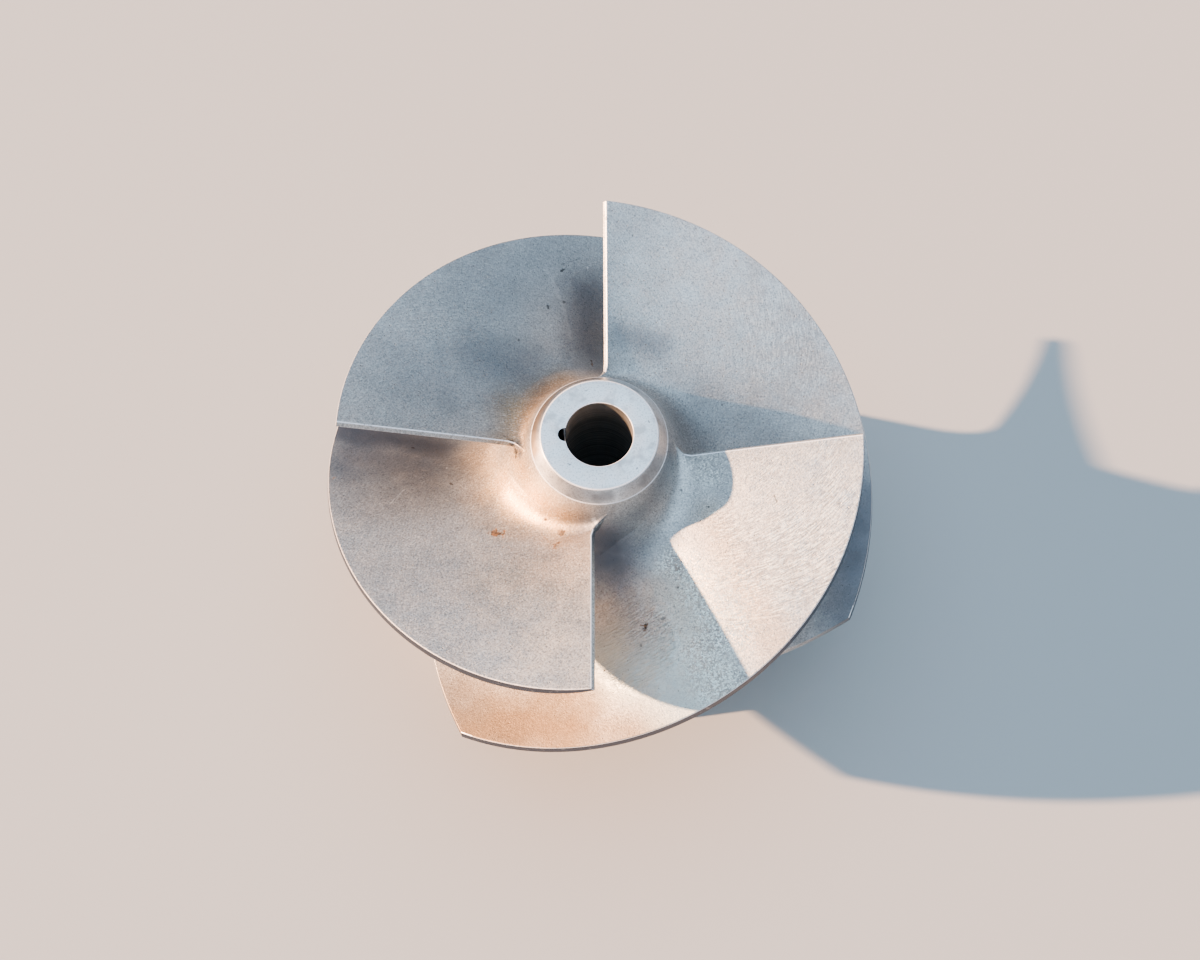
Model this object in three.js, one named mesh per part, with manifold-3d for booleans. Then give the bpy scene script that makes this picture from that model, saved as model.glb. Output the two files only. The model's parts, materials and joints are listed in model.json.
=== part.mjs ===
import * as THREE from 'three';
import { mergeVertices } from 'three/addons/utils/BufferGeometryUtils.js';
import Module from 'manifold-3d';

// Jet boat impeller, cast in one piece: a flaring hub with four overlapping blades.
// Millimetres. The shaft axis is Z, the water comes in at the top, and Z = 0 is the back face.
// Lengths along the axis are heights over the back face, angles are in radians.

const HUB_HEIGHT = 185;          // back face to nose face
const NOSE_RADIUS = 33;          // flat face at the inlet end
const CONE_RADIUS = 38.8;        // foot of the machined nose cone
const CONE_DEPTH = 8.4;
const HUB_SPREAD = 0.37;         // the cast hub widens by this much per mm of depth
const HUB_FLARE = 0.0031;        // and by this much more as it goes down
const FLARE_DEPTH = 62;          // below this it settles into a plain cone
const SETTLE_DEPTH = 8;
const LATE_SPREAD = 0.46;        // widening of that cone
const BACK_RADIUS = 120;         // straight band at the back

const SHELL = 9;                 // wall of the hub round its cored back
const CORE_DEPTH = 64;           // nose face to the top of the core
const CORE_CORNER = 10;
const BOSS_RADIUS = 33;          // round the bore inside the core
const BOSS_DRAFT = 2;
const BACK_BREAK = 1;            // chamfer round the back

const BORE_RADIUS = 19.05;       // 1.5 inch shaft
const LAND_LENGTH = 18;          // fitted length at each end of the bore
const RELIEF_RADIUS = 21.5;      // cored middle of the bore
const RELIEF_CHAMFER = 2;
const BORE_BREAK = 0.4;
const KEY_RADIUS = 4;            // round key, half in the shaft and half in the hub
const KEY_DEPTH = 22;
const OVERCUT = 5;               // the cutter starts this far over the nose face

const BLADES = 4;
const TIP_HEIGHT = HUB_HEIGHT + 10.1;   // leading corner of a blade
const TIP_RADIUS = 145;
const RIM_TAPER = 0.2365;               // the swept cone widens by this much per mm of depth
const RIM_DROP = [41.2, -17, 18.1, -3.87];
const RIM_WRAP = THREE.MathUtils.degToRad(118.7);
const LATE_DROP = 66.7;                 // fall per radian beyond the rim's end
const TRAIL_SWEEP = [0.00908, 0.0000559];  // trailing edge, radians per mm in from the rim
const LEAD_TILT = 0.304;                // the leading edge falls towards the hub
const LEVEL_ANGLE = THREE.MathUtils.degToRad(115);
const LEAD_OFFSET = 4.8;                // leading edge behind the true radius
const LEAD_NOSE = 2;                    // lower corner ahead of the upper one
const LEAD_FLARE = 7;                   // the leading edge runs forward where it meets the hub
const FLARE_START = 43;
const FLARE_LENGTH = 9;
const TRAIL_LIP = 1;
const LEAD_THICKNESS = 2.6;
const BLADE_THICKNESS = 6.3;
const ROOT_THICKENING = 2.5;            // more thickness by the hub
const THICK_RADIUS = 45;
const LEAD_LENGTH = 0.12;               // part of the chord over which a blade thickens
const LEAD_FILLET = 5;
const ROOT_FILLET = 20;
const TRAIL_FILLET = 5;
const LEAD_PART = 0.33;                 // part of the chord over which the fillet grows
const TRAIL_PART = 0.1;                 // and over which it shrinks
const BURIED = 3;                       // the blade's inner end lies this deep in the hub

const CHORD_STEPS = 26;
const CHORD_EASE = 1.15;         // sections lie closer together towards the leading edge
const SPAN_STEPS = 6;
const FILLET_STEPS = 3;
const HUB_STEPS = 20;
const CORE_STEPS = 9;
const TURN_STEPS = 64;
const KEY_SIDES = 16;
const MERGE_DISTANCE = 1e-4;

const castSteel = new THREE.MeshStandardMaterial({
  color: 0xaeb0b1,
  roughness: 0.42,
  metalness: 0.9,
});

const STEEPEST = HUB_SPREAD + 2 * HUB_FLARE * FLARE_DEPTH;

function hubRadius(height) {
  const depth = HUB_HEIGHT - CONE_DEPTH - height;
  const flared = Math.min(depth, FLARE_DEPTH);
  const radius = CONE_RADIUS + HUB_SPREAD * flared + HUB_FLARE * flared * flared;
  const settled = SETTLE_DEPTH * (1 - Math.exp((flared - depth) / SETTLE_DEPTH));
  const cone = radius + LATE_SPREAD * (depth - flared) + (STEEPEST - LATE_SPREAD) * settled;
  return Math.min(cone, BACK_RADIUS);
}

function hubSlope(height) {
  return hubRadius(height - 0.5) - hubRadius(height + 0.5);
}

function rimRadius(height) {
  return TIP_RADIUS + RIM_TAPER * (TIP_HEIGHT - height);
}

function rimHeight(angle) {
  const onRim = Math.min(angle, RIM_WRAP);
  const height = RIM_DROP.reduce((sum, drop, i) => sum - drop * onRim ** (i + 1), TIP_HEIGHT);
  return height - LATE_DROP * (angle - onRim);
}

const TRAIL_RADIUS = rimRadius(rimHeight(RIM_WRAP));

// Upper face of a blade: straight lines from the rim, falling towards the hub at the
// leading edge and level near the trailing edge.
function upperHeight(radius, angle) {
  const edge = rimHeight(angle);
  const tilt = LEAD_TILT * (1 - angle / LEVEL_ANGLE);
  return edge - tilt * (rimRadius(edge) - radius);
}

function leadAngle(radius) {
  const inner = Math.max(0, 1 - (radius - FLARE_START) / FLARE_LENGTH);
  return (LEAD_OFFSET - LEAD_FLARE * inner * inner) / radius;
}

function trailAngle(radius) {
  const inward = TRAIL_RADIUS - radius;
  return RIM_WRAP + TRAIL_SWEEP[0] * inward + TRAIL_SWEEP[1] * inward * inward;
}

function bladeAngle(chord, radius) {
  const lead = leadAngle(radius);
  return lead + chord * (trailAngle(radius) - lead);
}

function thickness(chord, radius) {
  const grown = 1 - 0.1 ** (chord / LEAD_LENGTH);
  const inward = 1 - (radius - THICK_RADIUS) / (TIP_RADIUS - THICK_RADIUS);
  const plate = LEAD_THICKNESS + (BLADE_THICKNESS - LEAD_THICKNESS) * grown;
  return plate + ROOT_THICKENING * grown * Math.max(0, inward);
}

// Where a face of the blade meets the hub: the radius at which both heights agree.
function rootRadius(faceHeight) {
  let radius = CONE_RADIUS;
  for (let i = 0; i < 40; i += 1) {
    radius = 0.5 * (radius + hubRadius(faceHeight(radius)));
  }
  return radius;
}

// A curve that leaves one point and reaches another along the lines to their corner.
function roundCorner(from, corner, to, steps) {
  const points = [];
  for (let i = 0; i <= steps; i += 1) {
    const t = i / steps;
    const bend = (k) => (1 - t) ** 2 * from[k] + 2 * t * (1 - t) * corner[k] + t * t * to[k];
    points.push([bend(0), bend(1)]);
  }
  return points;
}

// One face from the hub out to the rim, as [radius, height] pairs. The first point is inside
// the hub, the next ones are the root fillet, which ends level with the face.
function faceLine(faceHeight, fillet, upward) {
  const root = rootRadius(faceHeight);
  const corner = faceHeight(root);
  const lean = Math.atan(hubSlope(corner));
  const tangentHeight = corner + (upward ? 1 : -1) * fillet * Math.cos(lean);
  const tangentRadius = hubRadius(tangentHeight);
  const start = root + fillet;
  const onHub = [tangentRadius, tangentHeight];
  const onFace = [start, faceHeight(start)];
  const line = [
    [tangentRadius - BURIED, tangentHeight],
    ...roundCorner(onHub, [root, corner], onFace, FILLET_STEPS),
  ];
  let rim = TIP_RADIUS;
  for (let i = 0; i < 20; i += 1) {
    rim = rimRadius(faceHeight(rim));
  }
  for (let i = 1; i <= SPAN_STEPS; i += 1) {
    const radius = start + (rim - start) * i / SPAN_STEPS;
    line.push([radius, faceHeight(radius)]);
  }
  return line;
}

function turned(radius, height, angle) {
  return new THREE.Vector3(radius * Math.cos(angle), -radius * Math.sin(angle), height);
}

// The fillet grows from the leading edge and shrinks again over the last part of the chord.
function rootFillet(chord) {
  const whole = LEAD_FILLET + (ROOT_FILLET - LEAD_FILLET) * Math.min(1, chord / LEAD_PART);
  const behind = Math.max(0, 1 - (1 - chord) / TRAIL_PART);
  return TRAIL_FILLET + (whole - TRAIL_FILLET) * Math.sqrt(1 - behind * behind);
}

function bladeSection(chord) {
  const upper = (radius) => upperHeight(radius, bladeAngle(chord, radius));
  const lower = (radius) => upper(radius) - thickness(chord, radius);
  const shift = -LEAD_NOSE + (LEAD_NOSE + TRAIL_LIP) * chord;
  const top = faceLine(upper, rootFillet(chord), true);
  const bottom = faceLine(lower, rootFillet(chord), false);
  return [
    top.map(([radius, height]) => turned(radius, height, bladeAngle(chord, radius))),
    bottom.map(([radius, height]) => turned(radius, height, bladeAngle(chord, radius) + shift / radius)),
  ];
}

// A closed skin over the sections: upper face, lower face, rim, inner end and both edges.
function bladeGeometry() {
  const points = [];
  const rows = [];
  for (let i = 0; i <= CHORD_STEPS; i += 1) {
    const chord = (i / CHORD_STEPS) ** CHORD_EASE;
    rows.push(bladeSection(chord).map((line) => line.map((point) => points.push(point) - 1)));
  }
  const faces = [];
  const quad = (a, b, c, d) => faces.push(a, b, c, a, c, d);
  const last = rows[0][0].length - 1;
  for (let i = 0; i < CHORD_STEPS; i += 1) {
    const [top, bottom] = rows[i];
    const [nextTop, nextBottom] = rows[i + 1];
    for (let j = 0; j < last; j += 1) {
      quad(top[j], nextTop[j], nextTop[j + 1], top[j + 1]);
      quad(bottom[j], bottom[j + 1], nextBottom[j + 1], nextBottom[j]);
    }
    quad(top[last], nextTop[last], nextBottom[last], bottom[last]);
    quad(top[0], bottom[0], nextBottom[0], nextTop[0]);
  }
  for (let j = 0; j < last; j += 1) {
    const [top, bottom] = rows[0];
    quad(top[j], top[j + 1], bottom[j + 1], bottom[j]);
    const [endTop, endBottom] = rows[CHORD_STEPS];
    quad(endTop[j], endBottom[j], endBottom[j + 1], endTop[j + 1]);
  }
  const geometry = new THREE.BufferGeometry().setFromPoints(points);
  geometry.setIndex(faces);
  return geometry;
}

// Outline of the core that leaves the hub hollow behind, from its rim in to the boss.
function coreOutline() {
  const top = HUB_HEIGHT - CORE_DEPTH;
  const wallTop = top - CORE_CORNER;
  const boss = BOSS_RADIUS + BOSS_DRAFT;
  const wall = (height) => hubRadius(height) - SHELL * Math.hypot(1, hubSlope(height));
  const inner = wall(top);
  const outline = [];
  for (let i = 0; i < CORE_STEPS; i += 1) {
    const height = wallTop * i / CORE_STEPS;
    outline.push([wall(height), height]);
  }
  return [
    ...outline,
    ...roundCorner([wall(wallTop), wallTop], [inner, top], [inner - CORE_CORNER, top], FILLET_STEPS),
    ...roundCorner([boss + CORE_CORNER, top], [boss, top], [boss, wallTop], FILLET_STEPS),
    [BOSS_RADIUS, 0],
  ];
}

// Height at which the hub's cone runs into the straight band at its back.
function bandHeight() {
  const step = 0.1;
  let height = BACK_BREAK;
  while (hubRadius(height) >= BACK_RADIUS) {
    height += step;
  }
  return height;
}

function hubGeometry() {
  const coneFoot = HUB_HEIGHT - CONE_DEPTH;
  const bandTop = bandHeight();
  const profile = [
    [BORE_RADIUS, HUB_HEIGHT - BORE_BREAK],
    [BORE_RADIUS, HUB_HEIGHT - LAND_LENGTH],
    [RELIEF_RADIUS, HUB_HEIGHT - LAND_LENGTH - RELIEF_CHAMFER],
    [RELIEF_RADIUS, LAND_LENGTH + RELIEF_CHAMFER],
    [BORE_RADIUS, LAND_LENGTH],
    [BORE_RADIUS, BORE_BREAK],
    [BORE_RADIUS + BORE_BREAK, 0],
    ...coreOutline().reverse(),
    [BACK_RADIUS - BACK_BREAK, 0],
    [BACK_RADIUS, BACK_BREAK],
  ];
  for (let i = 0; i <= HUB_STEPS; i += 1) {
    const height = bandTop + (coneFoot - bandTop) * i / HUB_STEPS;
    profile.push([hubRadius(height), height]);
  }
  profile.push([NOSE_RADIUS, HUB_HEIGHT]);
  profile.push([BORE_RADIUS + BORE_BREAK, HUB_HEIGHT]);
  profile.push(profile[0]);
  const points = profile.map(([radius, height]) => new THREE.Vector2(radius, height));
  return new THREE.LatheGeometry(points, TURN_STEPS).rotateX(Math.PI / 2);
}

function keyGeometry() {
  const length = KEY_DEPTH + OVERCUT;
  const key = new THREE.CylinderGeometry(KEY_RADIUS, KEY_RADIUS, length, KEY_SIDES);
  key.rotateX(Math.PI / 2);
  return key.translate(-BORE_RADIUS, 0, HUB_HEIGHT + OVERCUT - length / 2);
}

const wasm = await Module();
wasm.setup();

function solid(geometry) {
  geometry.deleteAttribute('normal');
  geometry.deleteAttribute('uv');
  const merged = mergeVertices(geometry, MERGE_DISTANCE);
  return new wasm.Manifold(new wasm.Mesh({
    numProp: 3,
    vertProperties: new Float32Array(merged.attributes.position.array),
    triVerts: new Uint32Array(merged.index.array),
  }));
}

function geometryOf(body) {
  const mesh = body.getMesh();
  const geometry = new THREE.BufferGeometry();
  geometry.setAttribute('position', new THREE.BufferAttribute(mesh.vertProperties, 3));
  geometry.setIndex(new THREE.BufferAttribute(mesh.triVerts, 1));
  geometry.computeVertexNormals();
  return geometry;
}

let casting = solid(hubGeometry());
for (let i = 0; i < BLADES; i += 1) {
  casting = casting.add(solid(bladeGeometry().rotateZ(i * 2 * Math.PI / BLADES)));
}
casting = casting.subtract(solid(keyGeometry()));

const impeller = new THREE.Mesh(geometryOf(casting), castSteel);
impeller.name = 'impeller';

const group = new THREE.Group();
group.add(impeller);

export default group;
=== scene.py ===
import json
import math

import bmesh
import bpy
from mathutils import Matrix, Vector


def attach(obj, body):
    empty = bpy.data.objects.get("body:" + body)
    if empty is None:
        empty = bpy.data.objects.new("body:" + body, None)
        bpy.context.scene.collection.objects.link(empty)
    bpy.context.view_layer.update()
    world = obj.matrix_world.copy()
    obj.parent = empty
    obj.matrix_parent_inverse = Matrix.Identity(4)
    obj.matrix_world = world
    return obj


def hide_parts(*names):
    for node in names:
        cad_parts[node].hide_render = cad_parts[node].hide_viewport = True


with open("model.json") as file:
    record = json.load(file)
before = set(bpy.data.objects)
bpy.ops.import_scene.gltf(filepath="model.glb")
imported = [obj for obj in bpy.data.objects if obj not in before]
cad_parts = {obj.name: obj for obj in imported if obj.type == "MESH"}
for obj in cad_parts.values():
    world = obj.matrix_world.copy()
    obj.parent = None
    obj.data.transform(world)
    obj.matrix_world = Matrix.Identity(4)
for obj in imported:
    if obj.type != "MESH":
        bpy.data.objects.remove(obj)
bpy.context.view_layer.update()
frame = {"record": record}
print("frame loaded")

mm = 0.001
noseFace = next(m for m in frame["record"]["mounts"] if m["name"] == "nose_face")

# The casting, in millimetres and degrees. Heights are over the back face.
casting = {
    "hubHeight": round(noseFace["pos_m"][2] / mm, 3),
    "noseRadius": 33.0,
    "coneRadius": 38.8,
    "coneDepth": 8.4,
    "coneLip": 0.7,  # broken edge at the foot of the cone
    "hubSpread": 0.37,  # widening of the hub for each mm of depth
    "hubFlare": 0.0031,
    "flareDepth": 62.0,
    "settleDepth": 8.0,
    "lateSpread": 0.46,
    "backRadius": 120.0,
    "shell": 9.0,  # wall round the hollow back
    "coreDepth": 64.0,
    "coreCorner": 10.0,
    "bossRadius": 33.0,
    "bossDraft": 2.0,
    "boreRadius": 19.05,
    "landLength": 18.0,
    "reliefRadius": 21.5,
    "reliefChamfer": 2.0,
    "keyRadius": 4.0,
    "keyDepth": 22.0,
    "overcut": 5.0,
    "keySides": 32,
    "boreEdge": 0.5,  # broken edges of the bore at the nose and at the back, and of the nose face
    "backEdge": 0.4,
    "noseEdge": 0.5,
    "edgeSteps": 3,
    "turnedBand": 18.0,  # machined height at the back
    "bandStart": 1.0,  # the straight rim at the back ends over this, found in small steps
    "bandStep": 0.1,
    "hubSteps": 60,
    "coreSteps": 14,
    "cornerSteps": 6,
    "turnSteps": 192,
    "mergeGap": 0.01,
    "smoothAngle": 18.0,  # edges sharper than this stay sharp
}

blade = {
    "count": 4,
    "tipRise": 10.1,  # leading corner over the nose face
    "tipRadius": 145.0,
    "rimTaper": 0.2365,
    "rimDrop": (41.2, -17.0, 18.1, -3.87),  # fall of the rim for each power of the angle
    "rimWrap": 118.7,
    "lateDrop": 66.7,
    "trailSweep": (0.00908, 0.0000559),  # radians for each mm inward, and for each mm squared
    "leadTilt": 0.304,  # slope of the upper face at the leading edge
    "levelAngle": 115.0,  # where that slope has gone
    "leadOffset": 4.8,
    "leadNose": 2.0,
    "leadFlare": 7.0,  # the leading edge runs forward where it meets the hub
    "flareStart": 43.0,
    "flareLength": 9.0,
    "trailLip": 1.0,
    "leadThickness": 2.6,
    "thickness": 6.3,
    "rootThickening": 2.5,
    "thickRadius": 45.0,
    "leadLength": 0.12,  # part of the chord over which nine tenths of the thickness grow
    "leadPart": 0.33,
    "trailPart": 0.1,
    "leadFillet": 5.0,
    "rootFillet": 20.0,
    "trailFillet": 5.0,
    "buried": 3.0,
    "edgeRound": 0.75,
    "edgeSteps": 2,
    "sharpAngle": 40.0,  # edges sharper than this are rounded
    "chordSteps": 96,
    "chordEase": 1.15,  # sections lie closer together towards the leading edge
    "filletSteps": 8,
    "spanSteps": 24,
    "rootSearch": 40,  # steps that find the root and the rim of a section
    "rimSearch": 20,
}


def hubRadius(height):
    depth = casting["hubHeight"] - casting["coneDepth"] - height
    flared = min(depth, casting["flareDepth"])
    radius = casting["coneRadius"] + casting["hubSpread"] * flared + casting["hubFlare"] * flared ** 2
    steepest = casting["hubSpread"] + 2 * casting["hubFlare"] * casting["flareDepth"]
    settled = casting["settleDepth"] * (1 - math.exp((flared - depth) / casting["settleDepth"]))
    cone = radius + casting["lateSpread"] * (depth - flared) + (steepest - casting["lateSpread"]) * settled
    return min(cone, casting["backRadius"])


# How much the hub widens over one millimetre of depth.
def hubSlope(height):
    return hubRadius(height - 0.5) - hubRadius(height + 0.5)


def rimRadius(height):
    return blade["tipRadius"] + blade["rimTaper"] * (casting["hubHeight"] + blade["tipRise"] - height)


def rimHeight(angle):
    onRim = min(angle, math.radians(blade["rimWrap"]))
    height = casting["hubHeight"] + blade["tipRise"]
    for power, drop in enumerate(blade["rimDrop"], 1):
        height -= drop * onRim ** power
    return height - blade["lateDrop"] * (angle - onRim)


trailRadius = rimRadius(rimHeight(math.radians(blade["rimWrap"])))


# Height of the blade's upper face.
def upperHeight(radius, angle):
    edge = rimHeight(angle)
    tilt = blade["leadTilt"] * (1 - angle / math.radians(blade["levelAngle"]))
    return edge - tilt * (rimRadius(edge) - radius)


def leadAngle(radius):
    inner = max(0.0, 1 - (radius - blade["flareStart"]) / blade["flareLength"])
    return (blade["leadOffset"] - blade["leadFlare"] * inner ** 2) / radius


def trailAngle(radius):
    inward = trailRadius - radius
    sweep, bend = blade["trailSweep"]
    return math.radians(blade["rimWrap"]) + sweep * inward + bend * inward ** 2


def bladeAngle(chord, radius):
    lead = leadAngle(radius)
    return lead + chord * (trailAngle(radius) - lead)


def bladeThickness(chord, radius):
    grown = 1 - 0.1 ** (chord / blade["leadLength"])
    inward = max(0.0, (blade["tipRadius"] - radius) / (blade["tipRadius"] - blade["thickRadius"]))
    plate = blade["leadThickness"] + (blade["thickness"] - blade["leadThickness"]) * grown
    return plate + blade["rootThickening"] * grown * inward


# A curve that leaves one point and reaches another along the lines to their corner.
def roundCorner(start, corner, end, steps):
    points = []
    for i in range(steps + 1):
        t = i / steps
        parts = ((1 - t) ** 2, 2 * t * (1 - t), t * t)
        points.append(tuple(sum(p * q[k] for p, q in zip(parts, (start, corner, end))) for k in (0, 1)))
    return points


# Radius and height from inside the hub, up the root fillet and out to the rim.
def faceLine(faceHeight, fillet, upward):
    root = casting["coneRadius"]
    for _ in range(blade["rootSearch"]):
        root = 0.5 * (root + hubRadius(faceHeight(root)))
    corner = faceHeight(root)
    lean = math.atan(hubSlope(corner))
    tangentHeight = corner + (fillet if upward else -fillet) * math.cos(lean)
    tangentRadius = hubRadius(tangentHeight)
    line = [(tangentRadius - blade["buried"], tangentHeight)]
    end = root + fillet
    line += roundCorner((tangentRadius, tangentHeight), (root, corner), (end, faceHeight(end)),
                        blade["filletSteps"])
    rim = blade["tipRadius"]
    for _ in range(blade["rimSearch"]):
        rim = rimRadius(faceHeight(rim))
    for i in range(1, blade["spanSteps"] + 1):
        radius = end + (rim - end) * i / blade["spanSteps"]
        line.append((radius, faceHeight(radius)))
    return line


def turned(radius, height, angle):
    return Vector((radius * math.cos(angle), -radius * math.sin(angle), height)) * mm


# The fillet grows from the leading edge and shrinks again over the last part of the chord.
def rootFillet(chord):
    ahead = min(1, chord / blade["leadPart"])
    behind = math.sqrt(1 - max(0, 1 - (1 - chord) / blade["trailPart"]) ** 2)
    whole = blade["leadFillet"] + (blade["rootFillet"] - blade["leadFillet"]) * ahead
    return blade["trailFillet"] + (whole - blade["trailFillet"]) * behind


# Upper and lower line of one section, as points.
def bladeLines(chord):
    def upper(radius):
        return upperHeight(radius, bladeAngle(chord, radius))

    def lower(radius):
        return upper(radius) - bladeThickness(chord, radius)

    fillet = rootFillet(chord)
    shift = -blade["leadNose"] + (blade["leadNose"] + blade["trailLip"]) * chord
    top = [turned(r, h, bladeAngle(chord, r)) for r, h in faceLine(upper, fillet, True)]
    bottom = [turned(r, h, bladeAngle(chord, r) + shift / r) for r, h in faceLine(lower, fillet, False)]
    return top, bottom


def makeBlade():
    chordSteps = blade["chordSteps"]
    lineSteps = blade["filletSteps"] + blade["spanSteps"] + 1
    bm = bmesh.new()
    bmesh.ops.create_grid(bm, x_segments=chordSteps, y_segments=lineSteps, size=0.5)
    lower = bmesh.ops.extrude_face_region(bm, geom=bm.faces[:], use_keep_orig=True)["geom"]
    lowerVerts = {v for v in lower if isinstance(v, bmesh.types.BMVert)}
    sections = [bladeLines((i / chordSteps) ** blade["chordEase"]) for i in range(chordSteps + 1)]
    for vert in bm.verts:
        i = round((vert.co.x + 0.5) * chordSteps)
        j = round((vert.co.y + 0.5) * lineSteps)
        vert.co = sections[i][1 if vert in lowerVerts else 0][j]
    bmesh.ops.recalc_face_normals(bm, faces=bm.faces)
    outer = [e for e in bm.edges
             if e.is_manifold and e.calc_face_angle() > math.radians(blade["sharpAngle"])
             and math.hypot(*e.verts[0].co.xy) > hubRadius(e.verts[0].co.z / mm) * mm]
    bmesh.ops.bevel(bm, geom=outer, offset=blade["edgeRound"] * mm, segments=blade["edgeSteps"],
                    profile=0.5, affect="EDGES", material=-1, clamp_overlap=True)
    return bm


# Radius and height round the hollow of the hub, from its rim in to the boss.
def coreOutline():
    top = casting["hubHeight"] - casting["coreDepth"]
    corner = casting["coreCorner"]
    wallTop = top - corner
    steps = casting["coreSteps"]
    boss = casting["bossRadius"] + casting["bossDraft"]

    def wall(height):
        return hubRadius(height) - casting["shell"] * math.hypot(1, hubSlope(height))

    outline = [(wall(wallTop * i / steps), wallTop * i / steps) for i in range(steps)]
    outline += roundCorner((wall(wallTop), wallTop), (wall(top), top), (wall(top) - corner, top),
                           casting["cornerSteps"])
    outline += roundCorner((boss + corner, top), (boss, top), (boss, wallTop), casting["cornerSteps"])
    return outline + [(casting["bossRadius"], 0.0)]


def makeHub():
    height = casting["hubHeight"]
    bore = casting["boreRadius"]
    land = casting["landLength"]
    bandTop = casting["bandStart"]
    while hubRadius(bandTop) >= casting["backRadius"]:
        bandTop += casting["bandStep"]
    coneFoot = height - casting["coneDepth"]
    steps = casting["hubSteps"]
    relief = casting["reliefRadius"]
    chamfer = casting["reliefChamfer"]
    profile = [(bore, height), (bore, height - land), (relief, height - land - chamfer),
               (relief, land + chamfer), (bore, land), (bore, 0.0)]
    profile += reversed(coreOutline())
    profile += [(casting["backRadius"], 0.0)]
    for i in range(steps + 1):
        z = bandTop + (coneFoot - bandTop) * i / steps
        profile.append((hubRadius(z), z))
    lip = casting["coneLip"]
    rise = (casting["coneRadius"] - casting["noseRadius"]) / casting["coneDepth"]
    profile.append((casting["coneRadius"] - lip * rise, coneFoot + lip))
    profile.append((casting["noseRadius"], height))
    bm = bmesh.new()
    verts = [bm.verts.new((r * mm, 0, z * mm)) for r, z in profile]
    for start, end in zip(verts, verts[1:] + verts[:1]):
        bm.edges.new((start, end))
    broken = [(0, "boreEdge"), (5, "backEdge"), (len(profile) - 1, "noseEdge")]
    for index, width in broken:
        bmesh.ops.bevel(bm, geom=[verts[index]], offset=casting[width] * mm,
                        segments=casting["edgeSteps"], profile=0.5, affect="VERTICES", material=-1)
    bmesh.ops.spin(bm, geom=bm.verts[:] + bm.edges[:], axis=(0, 0, 1), cent=(0, 0, 0),
                   angle=2 * math.pi, steps=casting["turnSteps"], use_merge=True)
    bmesh.ops.remove_doubles(bm, verts=bm.verts, dist=casting["mergeGap"] * mm)
    bmesh.ops.recalc_face_normals(bm, faces=bm.faces)
    return bm


def makeKey():
    bm = bmesh.new()
    depth = casting["keyDepth"] + casting["overcut"]
    middle = casting["hubHeight"] + casting["overcut"] - depth / 2
    place = Matrix.Translation((-casting["boreRadius"] * mm, 0, middle * mm))
    radius = casting["keyRadius"] * mm
    bmesh.ops.create_cone(bm, cap_ends=True, segments=casting["keySides"], radius1=radius, radius2=radius,
                          depth=depth * mm, matrix=place)
    return bm


def objectFrom(bm, name):
    mesh = bpy.data.meshes.new(name)
    bm.to_mesh(mesh)
    bm.free()
    made = bpy.data.objects.new(name, mesh)
    bpy.context.scene.collection.objects.link(made)
    return made


# Joins the tool to the target, or cuts it out, for good.
def combine(target, tool, operation):
    boolean = target.modifiers.new(operation, "BOOLEAN")
    boolean.operation = operation
    boolean.solver = "MANIFOLD"
    boolean.object = tool
    evaluated = target.evaluated_get(bpy.context.evaluated_depsgraph_get())
    result = bpy.data.meshes.new_from_object(evaluated)
    target.modifiers.clear()
    target.data = result
    bpy.data.objects.remove(tool)


def makeImpeller():
    impeller = objectFrom(makeHub(), "impeller_casting")
    combine(impeller, objectFrom(makeKey(), "keyway"), "DIFFERENCE")
    print("hub turned")
    for i in range(blade["count"]):
        bm = makeBlade()
        bmesh.ops.rotate(bm, verts=bm.verts, cent=(0, 0, 0),
                         matrix=Matrix.Rotation(2 * math.pi * i / blade["count"], 3, "Z"))
        combine(impeller, objectFrom(bm, "blade"), "UNION")
    print("blades joined")
    return impeller


impeller = makeImpeller()

# Finishes

# Noise is given as its scale in cycles for each metre, its detail and its roughness.
# A range gives the noise values where something starts and where it is full.
noiseRange = (0.3, 0.7)
streakNoise = (1.0, 2.0, 0.6)

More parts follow.
